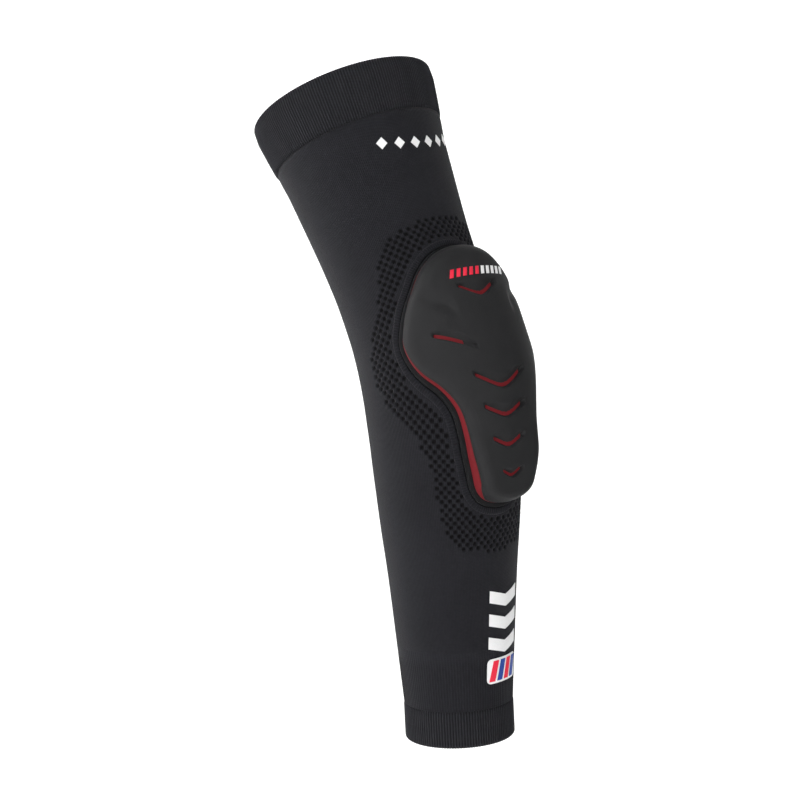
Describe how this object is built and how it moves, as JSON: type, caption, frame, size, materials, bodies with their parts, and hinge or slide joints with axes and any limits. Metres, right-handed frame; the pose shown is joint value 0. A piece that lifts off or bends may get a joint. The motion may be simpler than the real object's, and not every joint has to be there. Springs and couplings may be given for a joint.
{
  "type": "padded elbow sleeve",
  "caption": "Black knitted compression arm sleeve with a mesh zone round a moulded, grooved elbow pad with a red foam layer, worn with a slight bend.",
  "frame": {"origin": "the elbow's centre, where the centrelines of the upper-arm half and the forearm half cross", "axes": "+Z along the forearm half from the wrist to the elbow, -Y the way the elbow pad faces, +X along the elbow's hinge line"},
  "size_m": [0.1024, 0.1714, 0.3617],
  "materials": {
    "knit": "matt nylon and elastane knit",
    "rib_knit": "matt ribbed knit",
    "elastic": "covered rubber elastic",
    "seam_thread": "polyester thread",
    "backing_fabric": "brushed tricot",
    "pad_skirt": "satin moulded foam skin",
    "soft_foam": "open foam",
    "red_foam": "matt closed-cell foam",
    "shell_skin": "satin moulded foam skin",
    "print_white": "satin transfer print",
    "print_red": "satin transfer print",
    "print_blue": "satin transfer print"
  },
  "bodies": {
    "upper_arm": {"upper_cuff": "rib_knit", "upper_cuff_elastic": "elastic", "upper_cuff_seam": "seam_thread", "upper_arm_sleeve": "knit", "elbow_sleeve": "knit", "upper_print": "print_white"},
    "forearm": {"forearm_sleeve": "knit", "forearm_rib": "rib_knit", "forearm_cuff": "rib_knit", "forearm_cuff_elastic": "elastic", "forearm_cuff_seam": "seam_thread", "forearm_print": "print_white", "forearm_badge": "print_white", "forearm_badge_red": "print_red", "forearm_badge_blue": "print_blue", "pad_backing": "backing_fabric", "pad_stitching": "seam_thread", "pad_flange": "pad_skirt", "pad_core": "soft_foam", "pad_red_layer": "red_foam", "pad_shell": "shell_skin", "pad_mark_red": "print_red", "pad_mark_white": "print_white"}
  },
  "joints": [
    {"name": "elbow_bend", "type": "hinge", "parent": "upper_arm", "child": "forearm", "pos_m": [0, -0.008, 0], "axis": [1, 0, 0], "range_deg": [-26, 89], "stiffness_Nm_per_rad": 0.3, "deforming": ["elbow_sleeve"]}
  ]
}
